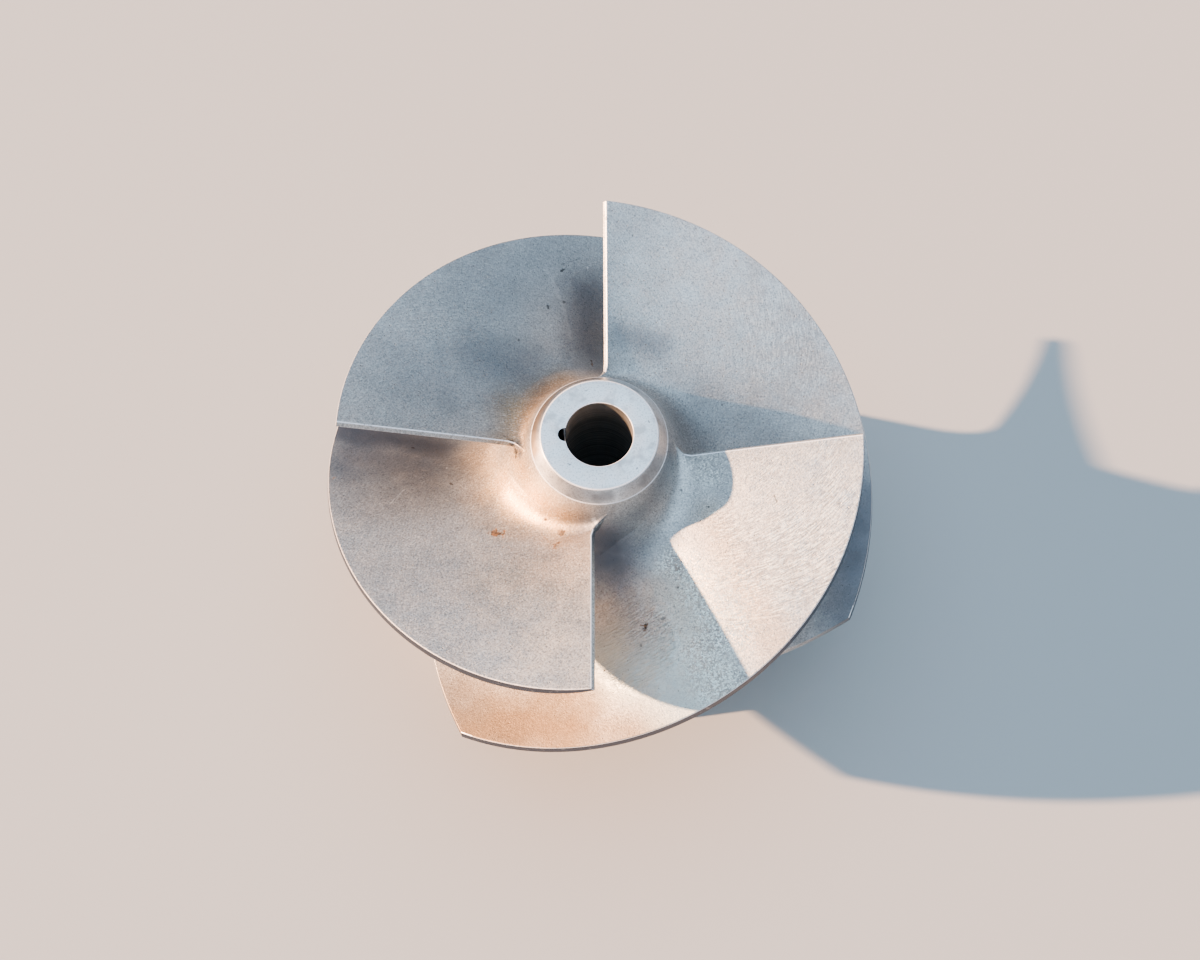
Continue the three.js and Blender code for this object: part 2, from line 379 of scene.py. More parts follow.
castLook = {
    "colour": (0.64, 0.635, 0.625),
    "dull": (0.52, 0.525, 0.53),
    "grainColour": (0.29, 0.29, 0.295),
    "lightGrain": (0.90, 0.90, 0.885),
    "grainStrength": (0.9, 0.65),  # of the dark and the light grains
    "darkGrains": (0.50, 0.30),
    "lightGrains": (0.52, 0.69),
    "roughness": (0.46, 0.60),
    "grainRoughness": 0.05,
    "rustRoughness": 0.35,
    "rustMetallic": 0.25,
    "rustGrain": (700.0, 2.0, 0.5),
    "rustRange": (0.4, 0.6),
    "rustColours": ((0.035, 0.018, 0.008), (0.24, 0.105, 0.035)),
    "patches": (16.0, 3.0, 0.5),
    "patchRange": (0.35, 0.65),
    "clouds": (70.0, 5.0, 0.6),
    "waves": (22.0, 1.0, 0.5),
    "waveDepth": 0.0012,
    "blast": (1000.0, 3.0, 0.65),  # blasted skin
    "blastDepth": 0.00011,
    "glints": 1450.0,  # small facets of the cast skin
    "glintTilt": (0.08, 0.26),  # everywhere, and where the skin is coarse
    "strokeAndPaintedGlintColour": (0.95, 0.98, 0.92),
    "paintedGlintFacets": (0.60, 0.82),
    "glintZone": (0.1, 0.8),  # coarseness where glints start and where all are there
    "darkFacets": (0.50, 0.10),
    "facetShade": (0.15, 0.55),  # everywhere, and where the skin is coarse
    "sheenStrength": 0.5,
    "strokes": (210.0, 1350.0),  # grinding strokes, along them and across
    "strokeStrength": 0.8,
    "strokeFloor": 0.18,  # how much of them is left outside the ground zones
    "darkStrokes": (0.54, 0.34),
    "lightStrokes": (0.52, 0.66),
    "strokeSlant": 55.0,  # degrees from the radius
    "strokeDepth": 0.00012,
    "specks": 400.0,
    "speckSize": 0.17,
    "speckGap": 0.62,  # share of the cells that have no speck
    "speckStrength": 0.55,
    "speckDepth": 0.0001,
    "fineEdge": (420.0, 0.7),  # unevenness of small and broad marks, as scale and amount
    "broadEdge": (45.0, 0.12),
}

# Where the casting skin was left coarse: place and reach in millimetres, and how strong.
coarseZones = [
    ((64, -110, 151), 33, 1.0),
    ((64, -128, 150), 34, 1.0),
    ((54, -78, 150), 22, 0.9),
    ((70, -88, 157), 30, 0.6),
    ((61, -14, 164), 20, 0.45),
    ((48, -64, 148), 22, 0.95),
    ((60, -94, 150), 24, 0.9),
    ((110, -70, 168), 60, 0.2),
    ((22, 100, 172), 50, 0.25),
]

# Where the grinder's strokes show most, in the same way.
groundZones = [
    ((112, -62, 170), 85, 1.0),
    ((110, 75, 155), 70, 0.45),
    ((-90, 90, 160), 80, 0.35),
    ((-48, 12, 160), 34, 0.6),
]

# Broad places painted lighter, as a painted sheen, in the same way.
paintedSheenZones = [
    ((-22, -128, 166), 75, 0.8),
    ((50, 105, 165), 80, 0.7),
    ((48, -22, 156), 26, 0.7),
    ((125, -50, 172), 60, 0.5),
    ((-125, 70, 160), 60, 0.3),
]

# Ripples left by the casting mould: place, reach and direction of the crests.
ripple = {
    "centre": (19, -105, 131),
    "reach": 36.0,
    "direction": 24.0,
    "scale": (230.0, 800.0),
    "depth": 0.0008,
    # The shade and colour paint the ripples' troughs darker, as painted shade.
    "shade": 0.38,
    "colour": (0.20, 0.19, 0.18),
    "range": (0.56, 0.36),
    "edge": (60.0, 0.3),
    "fade": 0.6,
}

# Single marks: from one point to another in millimetres, half width and strength.
rustMarks = [
    ((-60.4, -44.8, 147.0), (-56.0, -45.4, 148.0), 2.9, 1.0),
    ((-31.0, -39.6, 155.0), (-31.0, -39.6, 155.0), 0.9, 0.8),
    ((-21.0, -47.8, 157.7), (-22.0, -49.0, 157.5), 1.9, 0.8),
    ((-24.0, -55.3, 158.6), (-25.0, -56.3, 158.6), 2.2, 0.9),
    ((-27.8, -54.4, 157.3), (-33.0, -47.6, 154.1), 0.9, 0.45),
    ((-157.9, -2.8, 126.6), (-157.9, -2.8, 126.6), 1.3, 0.8),
    ((-4.8, 73.3, 127.8), (-3.7, 68.4, 129.7), 0.9, 0.8),
    ((24.4, -96.8, 134.2), (26.5, -96.0, 135.0), 2.3, 1.0),
    ((2.1, -119.8, 124.0), (2.1, -119.8, 124.0), 0.9, 0.8),
]

darkMarks = [
    ((-23.5, 131.6, 133.9), (-20.4, 134.1, 132.7), 0.8, 0.9),
    ((-22.9, 136.6, 133.8), (-11.8, 143.1, 129.5), 0.5, 0.4),
    # The next mark is painted shade in the notch where a leading edge meets its fillet.
    ((-50.0, 4.5, 163.5), (-48.5, -1.0, 154.6), 1.7, 0.55),
    ((97.3, -32.0, 171.6), (98.8, -36.4, 171.2), 0.5, 0.7),
    ((61.6, -33.7, 158.7), (61.6, -33.7, 158.7), 0.6, 0.8),
    ((47.5, -49.4, 149.9), (47.5, -49.4, 149.9), 0.9, 0.8),
    ((43.8, -77.1, 144.6), (43.8, -77.1, 144.6), 0.7, 0.7),
    ((35.0, -93.8, 139.4), (36.5, -93.0, 139.9), 1.1, 0.5),
    ((22.9, -107.7, 133.4), (22.9, -107.7, 133.4), 1.2, 0.5),
    ((109.9, -75.3, 169.5), (109.9, -75.3, 169.5), 0.7, 0.6),
    ((45.8, -22.7, 157.1), (46.8, -22.9, 157.0), 0.7, 0.7),
    ((-113.3, 22.5, 111.5), (-113.3, 22.5, 111.5), 1.1, 0.8),
    ((-89.0, -5.5, 124.8), (-87.5, -6.5, 125.4), 0.8, 0.7),
    ((-29.2, -70.5, 163.0), (-29.2, -70.5, 163.0), 0.8, 0.5),
    ((-21.7, 110.7, 132.8), (-21.7, 110.7, 132.8), 1.3, 0.6),
    ((-31.3, 105.5, 137.3), (-31.0, 104.0, 137.0), 0.8, 0.8),
    ((-48.2, 77.8, 146.5), (-48.2, 77.8, 146.5), 0.9, 0.7),
    ((-38.3, 61.3, 144.3), (-38.3, 61.3, 144.3), 0.8, 0.7),
    ((72.9, 36.6, 141.6), (72.9, 36.6, 141.6), 0.8, 0.6),
]

brightMarks = [
    ((-122.6, -21.3, 132.8), (-115.7, -10.9, 127.9), 0.6, 0.7),
    ((-117.9, -85.6, 158.0), (-112.4, -72.4, 153.6), 0.8, 0.35),
    ((120.3, 45.2, 142.9), (122.4, 48.6, 144.2), 0.6, 0.8),
    ((92.0, 54.4, 147.9), (92.0, 54.4, 147.9), 0.8, 1.0),
    ((-92.1, 6.8, 118.2), (-92.1, 6.8, 118.2), 0.9, 1.0),
    ((-6.9, 138.2, 127.1), (-6.9, 138.2, 127.1), 1.0, 0.9),
    ((50.5, 93.9, 167.2), (51.5, 92.5, 167.0), 0.8, 0.8),
    ((-3.2, -43.5, 166.0), (-1.8, -46.5, 164.0), 1.8, 0.8),
    ((0.1, -45.5, 163.8), (3.0, -44.0, 165.5), 1.0, 0.9),
    ((5.0, -43.0, 166.5), (8.0, -42.0, 168.0), 0.9, 0.5),
    ((9.0, -41.0, 169.0), (9.5, -40.0, 171.0), 1.1, 0.45),
    # The next two paint a highlight along a ridge on one blade.
    ((-31.0, 130.0, 136.2), (-21.2, 106.4, 132.6), 1.8, 0.28),
    ((-21.2, 106.4, 132.6), (-17.3, 87.1, 130.7), 1.5, 0.2),
]

# Painted shade: bluish dark patches where the blades and the hub shade each other, as single marks.
paintedShades = [
    ((36.0, 68.0, 160.0), (14.0, 69.0, 166.5), 15.0, 0.8),
    ((-47.3, 1.7, 163.4), (-46.0, -1.5, 161.5), 5.5, 1.3),
    ((-48.0, 57.0, 149.0), (-72.0, 62.0, 157.0), 40.0, 0.95),
    ((-60.0, 58.0, 154.0), (-110.0, 45.0, 165.0), 56.0, 0.6),
    ((-50.0, 46.0, 150.0), (-66.0, 34.0, 155.0), 26.0, 0.7),
    ((-93.0, 62.0, 165.0), (-87.0, 28.0, 169.0), 18.0, 0.65),
    ((-5.0, 82.0, 125.0), (-8.0, 120.0, 127.0), 34.0, 1.25),
    ((-30.0, 136.0, 137.0), (-75.0, 105.0, 157.0), 60.0, 0.5),
    ((-55.0, 12.0, 150.0), (-50.0, 30.0, 145.0), 12.0, 0.3),
    ((2.0, -50.0, 150.0), (9.0, -54.0, 144.0), 33.0, 1.7),
    ((1.0, -58.0, 140.0), (8.0, -59.0, 139.0), 31.0, 1.7),
    ((16.0, -94.0, 131.0), (9.0, -84.0, 131.0), 32.0, 0.35),
    ((10.0, -46.0, 157.0), (24.0, -37.0, 164.0), 14.0, 0.75),
    ((24.0, -37.0, 164.0), (38.5, -9.0, 174.5), 12.0, 0.65),
    ((-154.0, 35.0, 111.0), (-100.0, 24.0, 110.0), 30.0, 1.6),
    ((-150.0, 14.0, 118.0), (-107.0, 10.0, 117.0), 44.0, 1.15),
    ((-102.0, 14.0, 115.0), (-102.0, -6.0, 124.0), 30.0, 0.9),
    ((-145.0, 2.0, 124.0), (-112.0, -8.0, 127.0), 54.0, 0.55),
    ((154.0, -10.0, 112.0), (148.0, -75.0, 100.0), 50.0, 1.5),
    ((56.0, 30.0, 143.0), (100.0, 20.0, 132.0), 36.0, 0.6),
]

# Painted light and shade as zones: a darker warm shade, a cool reflection, a pale reflection and warm
# sunlight.
paintedWarmShadeZones = [
    ((-80.0, -146.0, 97.0), (-18.0, -150.0, 118.0), 60.0, 1.2),
    ((-8.0, -150.0, 122.0), (30.0, -159.0, 136.0), 30.0, 0.9),
]
paintedCoolReflectionZones = [
    ((8.0, -110.0, 127.0), (18.0, -124.0, 131.0), 32.0, 1.0),
    ((26.0, -120.0, 135.0), (42.0, -144.0, 141.0), 30.0, 0.9),
]
paintedPaleReflectionZones = [
    ((46.0, -82.0, 146.0), (56.0, -142.0, 146.0), 40.0, 1.0),
]
paintedSunZones = [
    ((-72.0, 15.0, 118.0), (-62.0, -8.0, 133.0), 26.0, 0.75),
    ((-58.0, -14.0, 140.0), (-40.0, -32.0, 152.0), 32.0, 1.0),
    ((-40.0, -32.0, 152.0), (-22.0, -43.0, 157.0), 27.0, 1.1),
    ((-46.0, 28.0, 155.0), (-48.0, 0.0, 156.0), 28.0, 1.0),
    ((-48.0, 0.0, 156.0), (-32.0, -34.0, 160.0), 28.0, 1.0),
    ((-38.0, 39.0, 152.0), (-22.0, 52.0, 147.0), 20.0, 0.9),
    ((-46.0, -78.0, 162.0), (-20.0, -68.0, 164.0), 46.0, 0.4),
    ((-18.0, -92.0, 173.0), (-32.0, -116.0, 178.0), 34.0, 0.15),
    ((63.0, -42.0, 158.0), (93.0, -112.0, 162.0), 19.0, 0.4),
]

turnedLook = {
    "colour": (0.765, 0.77, 0.775),
    "roughness": 0.38,
    "rings": (1400.0, 2.0, 0.6),
    "ringDepth": 0.00003,
    "ringShade": 0.15,
    "grainShade": 0.50,
}

boredLook = {
    "colour": (0.62, 0.615, 0.60),
    "roughness": 0.52,
    "rings": (520.0, 2.0, 0.6),
    "ringDepth": 0.00012,
    "ringShade": 0.75,
    "grainShade": 0.30,
}

# What the turned and the bored faces share.
machinedLook = {
    "ringRange": (0.55, 0.35),
    "grain": (1000.0, 2.0, 0.6),
    "grainRange": (0.50, 0.33),
    "clouds": (95.0, 4.0, 0.6),
    "cloudRange": (0.48, 0.36),
    "smears": (120.0, 3.0, 0.5),
    "smearRoughness": (-0.05, 0.06),
}

# Painted shade and painted warm sunlight on the cone, and nicks of the turned faces, as single marks.
paintedConeShades = [
    ((-2.0, -36.0, 181.0), (5.0, -35.0, 181.5), 6.0, 1.0),
    ((26.0, -25.0, 180.5), (28.0, -22.0, 180.5), 6.0, 0.35),
    ((-36.0, 8.0, 180.0), (-33.0, 16.0, 181.0), 6.0, 0.5),
    ((28.0, -25.0, 178.5), (37.5, 4.0, 178.5), 9.0, 0.4),
]
paintedConeSunMarks = [
    ((-36.5, -7.0, 178.5), (-36.5, 7.0, 178.5), 7.0, 1.0),
    ((-36.5, 7.0, 178.5), (-28.0, 24.5, 178.5), 7.0, 1.0),
    ((-28.0, 24.5, 178.5), (-8.0, 36.3, 178.5), 6.5, 0.8),
]
turnedNicks = [
    ((-17.2, -17.4, 185.0), (-15.8, -18.2, 185.0), 0.9, 1.0),
    ((27.5, 8.0, 185.0), (28.1, 7.0, 185.0), 0.5, 0.7),
    ((-8.0, 26.5, 185.0), (-6.5, 27.0, 185.0), 0.45, 0.6),
    ((20.5, -21.0, 185.0), (20.9, -20.2, 185.0), 0.5, 0.6),
    ((-30.5, -19.0, 180.0), (-29.8, -20.4, 180.0), 0.6, 0.7),
]

# How each kind of mark looks. A fade of 1 is soft right to the middle.
markLooks = {
    # The first five kinds paint light and shade into the colour: sunlight, a pale reflection, warm shade, a
    # cool reflection and bluish shade.
    "paintedSun": {"marks": paintedSunZones, "fade": 1.0, "strength": 1.0, "colour": (0.64, 0.43, 0.235)},
    "paintedPaleReflection": {"marks": paintedPaleReflectionZones, "fade": 1.0, "strength": 0.7, "colour": (0.96, 0.92, 0.80)},
    "paintedWarmShade": {"marks": paintedWarmShadeZones, "fade": 1.0, "strength": 0.82, "colour": (0.275, 0.20, 0.14)},
    "paintedCoolReflection": {"marks": paintedCoolReflectionZones, "fade": 1.0, "strength": 0.75, "colour": (0.60, 0.70, 0.70)},
    "paintedShade": {"marks": paintedShades, "fade": 1.0, "strength": 0.60, "colour": (0.17, 0.185, 0.215)},
    "bright": {"marks": brightMarks, "fade": 0.7, "strength": 0.7, "colour": (0.86, 0.86, 0.85)},
    "dark": {"marks": darkMarks, "fade": 0.6, "strength": 0.85, "colour": (0.07, 0.065, 0.06)},
    "rust": {"marks": rustMarks, "fade": 0.7, "strength": 0.9},
    "paintedConeShade": {"marks": paintedConeShades, "edge": (160.0, 0.2), "fade": 0.9, "strength": 0.75,
                    "colour": (0.25, 0.24, 0.24)},
    "paintedConeSun": {"marks": paintedConeSunMarks, "edge": (160.0, 0.1), "fade": 0.8, "strength": 0.8,
                  "colour": (0.58, 0.41, 0.27)},
    "turnedNick": {"marks": turnedNicks, "edge": (420.0, 0.5), "fade": 0.6, "strength": 0.8,
                   "colour": (0.07, 0.065, 0.06)},
}
zoneLook = {"edge": (50.0, 0.25), "fade": 0.9}

# The ground rim faces: a near-black colour paints the dark reflection they show. The keyway takes it too,
# as painted shade.
paintedDarkGroundLook = {
    "colour": (0.10, 0.11, 0.135),
    "metallic": 1.0,
}

# The deburred edges: brighter than the rim in their own right, and given a near-white, mostly unmetallic
# colour that paints a highlight line along them.
paintedHighlightEdgeLook = {
    "colour": (0.97, 0.97, 1.0),
    "metallic": 0.2,
}

# What the ground rims and their deburred edges share.
filedLook = {
    "roughness": (0.28, 0.44),
    "lines": (1500.0, 2.0, 0.5),
    "lineStretch": 0.03,  # the lines run round the rim
    "lineDepth": 0.00003,
    "nibbles": (300.0, 3.0, 0.5),
    "nibbleRange": (0.38, 0.30),
    "nibbleShade": 0.6,
}

# Lengths round the axis are taken at this radius, in metres.
aroundRadius = 0.12


def addNode(tree, kind, inputs=None, **settings):
    made = tree.nodes.new(kind)
    for key, value in settings.items():
        setattr(made, key, value)
    for key, value in (inputs or {}).items():
        if isinstance(value, bpy.types.NodeSocket):
            tree.links.new(value, made.inputs[key])
        else:
            made.inputs[key].default_value = value
    return made


def calc(tree, operation, *values):
    return addNode(tree, "ShaderNodeMath", dict(enumerate(values)), operation=operation).outputs[0]


def noise(tree, vector, scale, detail=2.0, roughness=0.5):
    inputs = {"Vector": vector, "Scale": scale, "Detail": detail, "Roughness": roughness}
    return addNode(tree, "ShaderNodeTexNoise", inputs).outputs["Fac"]


def cells(tree, vector, scale):
    return addNode(tree, "ShaderNodeTexVoronoi", {"Vector": vector, "Scale": scale}).outputs


# A smooth step keeps within its limits by itself, and too many clamp nodes turn a material black.
def remap(tree, value, low, high, newLow=0.0, newHigh=1.0, curve="LINEAR"):
    inputs = {"Value": value, "From Min": low, "From Max": high, "To Min": newLow, "To Max": newHigh}
    made = addNode(tree, "ShaderNodeMapRange", inputs, interpolation_type=curve, clamp=curve == "LINEAR")
    return made.outputs["Result"]


def mixColours(tree, factor, first, second):
    made = addNode(tree, "ShaderNodeMix", data_type="RGBA")
    for index, value in ((0, factor), (6, first), (7, second)):
        if isinstance(value, bpy.types.NodeSocket):
            tree.links.new(value, made.inputs[index])
        else:
            made.inputs[index].default_value = value if index == 0 else (*value, 1)
    return made.outputs[2]


def vectorOf(tree, x, y, z):
    return addNode(tree, "ShaderNodeCombineXYZ", {0: x, 1: y, 2: z}).outputs[0]


def vectorCalc(tree, operation, *values, output="Vector"):
    made = addNode(tree, "ShaderNodeVectorMath", operation=operation)
    for index, value in enumerate(values):
        socket = made.inputs["Scale"] if operation == "SCALE" and index == 1 else made.inputs[index]
        if isinstance(value, bpy.types.NodeSocket):
            tree.links.new(value, socket)
        else:
            socket.default_value = value
    return made.outputs[output]


def bump(tree, height, depth, normal=None):
    inputs = {"Height": height, "Strength": 1.0, "Distance": depth}
    if normal:
        inputs["Normal"] = normal
    return addNode(tree, "ShaderNodeBump", inputs).outputs[0]


# A metal material, with the place of each point as a vector, a radius and a length round the axis.
def startMetal(name):
    material = bpy.data.materials.new(name)
    material.use_nodes = True
    tree = material.node_tree
    shader = tree.nodes["Principled BSDF"]
    shader.inputs["Metallic"].default_value = 1.0
    place = addNode(tree, "ShaderNodeTexCoord").outputs["Object"]
    split = addNode(tree, "ShaderNodeSeparateXYZ", {0: place})
    x, y, z = split.outputs
    squares = calc(tree, "ADD", calc(tree, "MULTIPLY", x, x), calc(tree, "MULTIPLY", y, y))
    radius = calc(tree, "SQRT", squares)
    around = calc(tree, "MULTIPLY", calc(tree, "ARCTAN2", y, x), aroundRadius)
    return material, tree, shader, place, radius, around, z


# 1 in the middle of a mark and 0 outside it. A mark runs from one point to another, with an uneven edge.
def markShape(tree, place, uneven, start, end, size, fade):
    along = (Vector(end) - Vector(start)) * mm
    offset = vectorCalc(tree, "SUBTRACT", place, tuple(Vector(start) * mm))
    if along.length > 0:
        share = vectorCalc(tree, "DOT_PRODUCT", offset, tuple(along / along.length_squared), output="Value")
        onPart = calc(tree, "MINIMUM", calc(tree, "MAXIMUM", share, 0.0), 1.0)
        onLine = vectorCalc(tree, "SCALE", tuple(along), onPart)
        offset = vectorCalc(tree, "SUBTRACT", offset, onLine)
    distance = vectorCalc(tree, "LENGTH", offset, output="Value")
    reach = calc(tree, "MULTIPLY_ADD", distance, 1 / (size * mm), uneven)
    return remap(tree, reach, 1.0, 1.0 - fade, curve="SMOOTHSTEP")


def allMarks(tree, place, uneven, marks, fade):
    total = 0.0
    for start, end, size, strength in marks:
        shape = markShape(tree, place, uneven, start, end, size, fade)
        total = calc(tree, "MAXIMUM", total, calc(tree, "MULTIPLY", shape, strength))
    return total


def unevenness(tree, place, scale, amount):
    return remap(tree, noise(tree, place, scale), *noiseRange, -amount, amount)


def allZones(tree, place, zones):
    marks = [(centre, centre, reach, strength) for centre, reach, strength in zones]
    return allMarks(tree, place, unevenness(tree, place, *zoneLook["edge"]), marks, zoneLook["fade"])


# Where the marks of one kind are.
def marksOf(tree, place, uneven, kind):
    return allMarks(tree, place, uneven, markLooks[kind]["marks"], markLooks[kind]["fade"])


# Lays one kind's colour over the colour so far.
def overlay(tree, colour, shape, kind):
    look = markLooks[kind]
    return mixColours(tree, calc(tree, "MULTIPLY", shape, look["strength"]), colour, look["colour"])


# Noise drawn out into streaks.
def streaks(tree, along, across, depth, scale):
    longScale, wideScale = scale
    lines = vectorOf(tree, calc(tree, "MULTIPLY", along, longScale),
                     calc(tree, "MULTIPLY", across, wideScale), calc(tree, "MULTIPLY", depth, longScale))
    return noise(tree, lines, *streakNoise)


# Fine strokes of the grinder, on a slant between the radius and the rim.
def grindStrokes(tree, radius, around, z):
    slant = math.radians(castLook["strokeSlant"])
    along = calc(tree, "ADD", calc(tree, "MULTIPLY", radius, math.cos(slant)),
                 calc(tree, "MULTIPLY", around, math.sin(slant)))
    across = calc(tree, "SUBTRACT", calc(tree, "MULTIPLY", around, math.cos(slant)),
                  calc(tree, "MULTIPLY", radius, math.sin(slant)))
    return streaks(tree, along, across, z, castLook["strokes"])


# The ripples, and where they are.
def rippleMarks(tree, place):
    slant = math.radians(ripple["direction"])
    lengthwise = (math.cos(slant), math.sin(slant), 0)
    crosswise = (-math.sin(slant), math.cos(slant), 0)
    along = vectorCalc(tree, "DOT_PRODUCT", place, lengthwise, output="Value")
    across = vectorCalc(tree, "DOT_PRODUCT", place, crosswise, output="Value")
    uneven = unevenness(tree, place, *ripple["edge"])
    centre = ripple["centre"]
    zone = markShape(tree, place, uneven, centre, centre, ripple["reach"], ripple["fade"])
    return streaks(tree, along, across, 0.0, ripple["scale"]), zone


def castSteel():
    look = castLook
    material, tree, shader, place, radius, around, z = startMetal("cast_stainless_with_painted_light")
    fineEdge = unevenness(tree, place, *look["fineEdge"])
    broadEdge = unevenness(tree, place, *look["broadEdge"])
    patches = remap(tree, noise(tree, place, *look["patches"]), *look["patchRange"])
    clouds = remap(tree, noise(tree, place, *look["clouds"]), *noiseRange)
    colour = mixColours(tree, calc(tree, "MULTIPLY", patches, clouds), look["colour"], look["dull"])
    # painted sheen: broad places mixed towards a light colour
    clear = calc(tree, "MULTIPLY", allZones(tree, place, paintedSheenZones), look["sheenStrength"])
    colour = mixColours(tree, clear, colour, look["lightGrain"])
    # painted sunlight and a painted pale reflection over the colour
    for kind in ("paintedSun", "paintedPaleReflection"):
        colour = overlay(tree, colour, marksOf(tree, place, broadEdge, kind), kind)

    # blasted grain, and the facets where the skin is coarse, whose sparkle is painted as light facets
    coarse = allZones(tree, place, coarseZones)
    grain = noise(tree, place, *look["blast"])
    facets = cells(tree, place, look["glints"])
    facetTone = addNode(tree, "ShaderNodeSeparateColor", {0: facets["Color"]}).outputs[0]
    darkGrain, lightGrain = look["grainStrength"]
    grainShade = calc(tree, "MULTIPLY", remap(tree, grain, *look["darkGrains"]), darkGrain)
    facetShade = calc(tree, "MULTIPLY", remap(tree, facetTone, *look["darkFacets"]),
                      remap(tree, coarse, 0.0, 1.0, *look["facetShade"]))
    colour = mixColours(tree, calc(tree, "MAXIMUM", grainShade, facetShade), colour, look["grainColour"])
    grainLight = calc(tree, "MULTIPLY", remap(tree, grain, *look["lightGrains"]), lightGrain)
    colour = mixColours(tree, grainLight, colour, look["lightGrain"])
    # painted glints: lighter facets stand in for their sparkle
    paintedGlint = calc(tree, "MULTIPLY", remap(tree, facetTone, *look["paintedGlintFacets"]),
                 remap(tree, coarse, *look["glintZone"]))
    colour = mixColours(tree, paintedGlint, colour, look["strokeAndPaintedGlintColour"])

    # strokes of the grinder and ripples of the mould
    strokes = grindStrokes(tree, radius, around, z)
    ground = calc(tree, "MAXIMUM", allZones(tree, place, groundZones), look["strokeFloor"])
    strokeStrength = calc(tree, "MULTIPLY", ground, look["strokeStrength"])
    for side, tone in (("darkStrokes", "grainColour"), ("lightStrokes", "strokeAndPaintedGlintColour")):
        shape = calc(tree, "MULTIPLY", remap(tree, strokes, *look[side]), strokeStrength)
        colour = mixColours(tree, shape, colour, look[tone])
    # colour darker in the ripples' troughs: painted shade on top of their bumps
    crests, rippled = rippleMarks(tree, place)
    rippleShade = calc(tree, "MULTIPLY", remap(tree, crests, *ripple["range"]),
                       calc(tree, "MULTIPLY", rippled, ripple["shade"]))
    colour = mixColours(tree, rippleShade, colour, ripple["colour"])
    # painted warm shade, a painted cool reflection and painted bluish shade
    for kind in ("paintedWarmShade", "paintedCoolReflection", "paintedShade"):
        colour = overlay(tree, colour, marksOf(tree, place, broadEdge, kind), kind)
    colour = overlay(tree, colour, marksOf(tree, place, fineEdge, "bright"), "bright")

    # specks and rust
    speck = cells(tree, place, look["specks"])
    speckChoice = addNode(tree, "ShaderNodeSeparateColor", {0: speck["Color"]}).outputs[1]
    speckShape = remap(tree, speck["Distance"], look["speckSize"], look["speckSize"] * 0.5)
    specks = calc(tree, "MULTIPLY", speckShape, calc(tree, "GREATER_THAN", speckChoice, look["speckGap"]))
    dark = calc(tree, "MAXIMUM", marksOf(tree, place, fineEdge, "dark"),
                calc(tree, "MULTIPLY", specks, look["speckStrength"]))
    colour = overlay(tree, colour, dark, "dark")
    rust = marksOf(tree, place, fineEdge, "rust")
    rustTone = remap(tree, noise(tree, place, *look["rustGrain"]), *look["rustRange"])
    rustColour = mixColours(tree, rustTone, *look["rustColours"])
    rusted = calc(tree, "MULTIPLY", rust, markLooks["rust"]["strength"])
    tree.links.new(mixColours(tree, rusted, colour, rustColour), shader.inputs["Base Color"])
    tree.links.new(remap(tree, rust, 0.0, 1.0, 1.0, look["rustMetallic"]), shader.inputs["Metallic"])

    swing = look["grainRoughness"]
    rough = calc(tree, "ADD", remap(tree, clouds, 0.0, 1.0, *look["roughness"]),
                 remap(tree, grain, *noiseRange, -swing, swing))
    rough = calc(tree, "ADD", rough, calc(tree, "MULTIPLY", rust, look["rustRoughness"]))
    tree.links.new(rough, shader.inputs["Roughness"])

    normal = bump(tree, noise(tree, place, *look["waves"]), look["waveDepth"])
    normal = bump(tree, calc(tree, "MULTIPLY", strokes, ground), look["strokeDepth"], normal)
    normal = bump(tree, calc(tree, "MULTIPLY", crests, rippled), ripple["depth"], normal)
    normal = bump(tree, grain, look["blastDepth"], normal)
    normal = bump(tree, calc(tree, "MULTIPLY", specks, -1.0), look["speckDepth"], normal)
    tilt = remap(tree, coarse, 0.0, 1.0, *look["glintTilt"])
    facetLean = vectorCalc(tree, "SUBTRACT", facets["Color"], (0.5, 0.5, 0.5))
    normal = vectorCalc(tree, "ADD", normal, vectorCalc(tree, "SCALE", facetLean, tilt))
    tree.links.new(vectorCalc(tree, "NORMALIZE", normal), shader.inputs["Normal"])
    return material


def turnedSteel(name, look):
    shared = machinedLook
    material, tree, shader, place, radius, around, z = startMetal(name)
    rings = noise(tree, vectorOf(tree, radius, 0.0, z), *look["rings"])
    smears = remap(tree, noise(tree, place, *shared["smears"]), *noiseRange, *shared["smearRoughness"])
    tree.links.new(calc(tree, "ADD", smears, look["roughness"]), shader.inputs["Roughness"])
    tree.links.new(bump(tree, rings, look["ringDepth"]), shader.inputs["Normal"])
    shade = calc(tree, "MULTIPLY", remap(tree, rings, *shared["ringRange"]), look["ringShade"])
    for pattern, span in (("grain", "grainRange"), ("clouds", "cloudRange")):
        tone = remap(tree, noise(tree, place, *shared[pattern]), *shared[span])
        shade = calc(tree, "MAXIMUM", shade, calc(tree, "MULTIPLY", tone, look["grainShade"]))
    colour = mixColours(tree, shade, look["colour"], castLook["grainColour"])
    # painted shade and painted sunlight on the cone, then the nicks
    for kind in ("paintedConeShade", "paintedConeSun", "turnedNick"):
        uneven = unevenness(tree, place, *markLooks[kind]["edge"])
        colour = overlay(tree, colour, marksOf(tree, place, uneven, kind), kind)
    tree.links.new(colour, shader.inputs["Base Color"])
    return material


